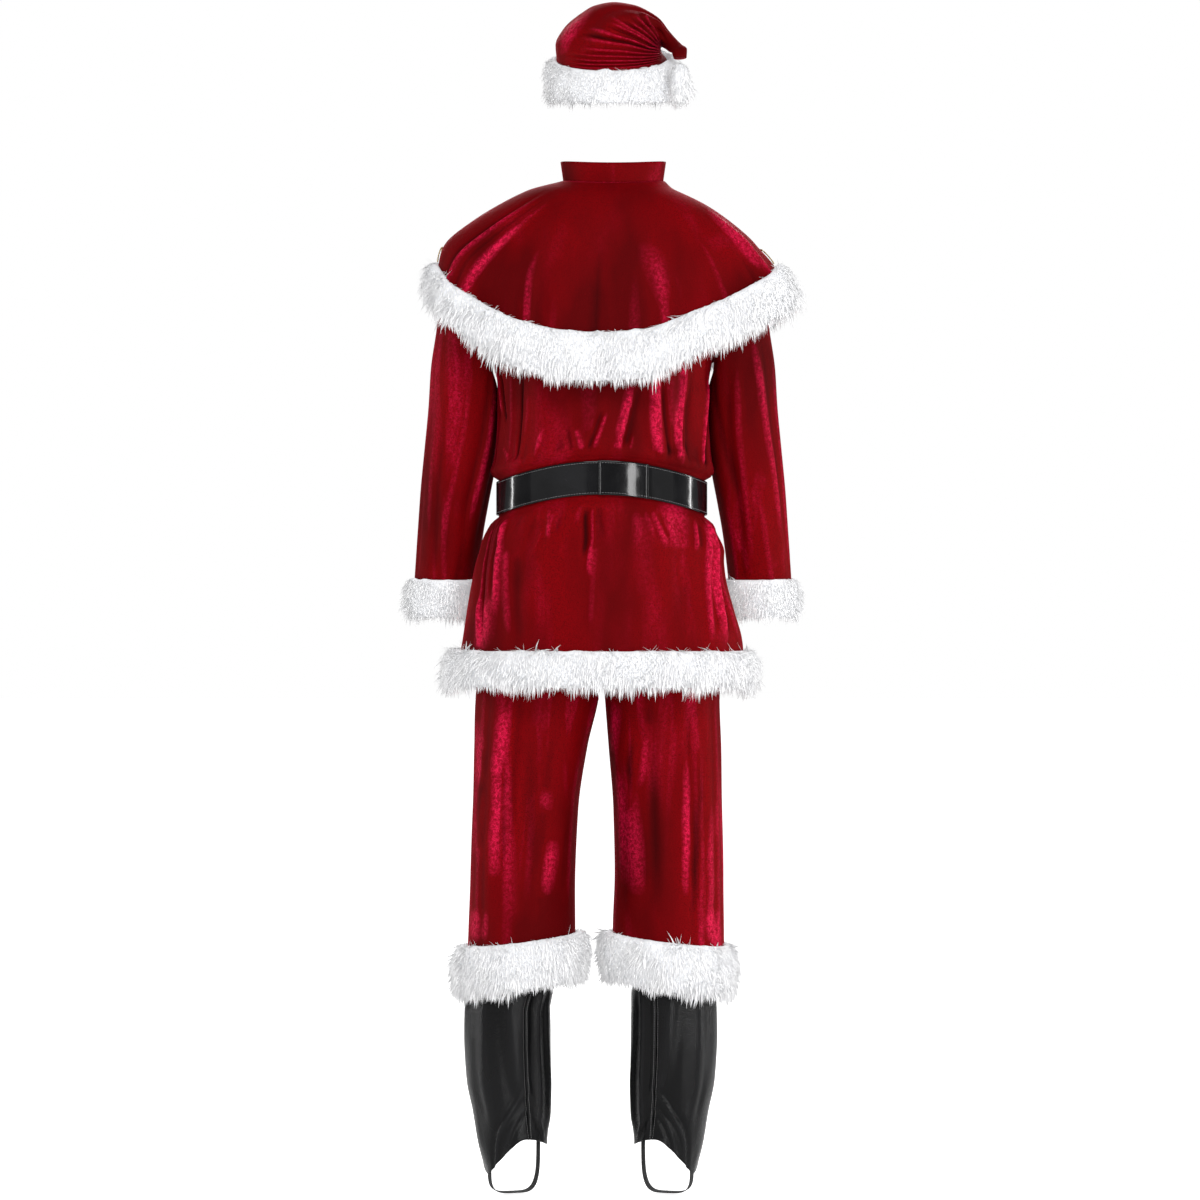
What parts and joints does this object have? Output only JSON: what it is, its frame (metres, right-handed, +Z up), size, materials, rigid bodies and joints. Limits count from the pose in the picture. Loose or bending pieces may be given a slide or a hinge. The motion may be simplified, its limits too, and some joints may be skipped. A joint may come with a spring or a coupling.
{
  "type": "santa suit",
  "caption": "Red velvet santa suit worn hollow: hat, caped jacket with belt, trousers and black boot covers, all trimmed with white fur.",
  "frame": {"origin": "between the wearer's shoulders, on the mid-line of the body, 1.53 m above the wearer's soles, where the wearer holds the suit up", "axes": "+Z up, +Y towards the back of the suit, +X towards the wearer's left"},
  "size_m": [0.63, 0.3648, 1.8586],
  "materials": {
    "red_velvet": "deep red crushed pile velvet with a soft sheen",
    "white_fur": "white long-pile artificial fur",
    "black_patent": "black patent, high gloss",
    "gold_metal": "plain gold-coloured metal",
    "black_artificial_leather": "soft black satin artificial leather",
    "black_elastic": "black woven elastic",
    "gold_braid": "narrow gold soutache braid"
  },
  "bodies": {
    "root": {"hat_crown": "red_velvet", "cape_body": "red_velvet", "cape_collar": "red_velvet", "jacket_back": "red_velvet", "jacket_front_left": "red_velvet", "jacket_front_right": "red_velvet", "sleeve_left": "red_velvet", "sleeve_right": "red_velvet", "trousers_back_left": "red_velvet", "trousers_back_right": "red_velvet", "trousers_front_left": "red_velvet", "trousers_front_right": "red_velvet", "trousers_waistband": "red_velvet", "hat_band_fur": "white_fur", "hat_pompom": "white_fur", "cape_fur": "white_fur", "jacket_hem_fur": "white_fur", "sleeve_fur_left": "white_fur", "sleeve_fur_right": "white_fur", "trousers_cuff_fur_left": "white_fur", "trousers_cuff_fur_right": "white_fur", "belt_strap": "black_patent", "belt_back_sleeve": "black_patent", "belt_keeper": "black_patent", "belt_buckle_frame": "gold_metal", "belt_prong": "gold_metal", "boot_cover_outer_left": "black_artificial_leather", "boot_cover_inner_left": "black_artificial_leather", "boot_cover_outer_right": "black_artificial_leather", "boot_cover_inner_right": "black_artificial_leather", "boot_strap_left": "black_elastic", "boot_strap_right": "black_elastic", "cape_braid_left": "gold_braid", "cape_braid_right": "gold_braid"}
  },
  "joints": []
}
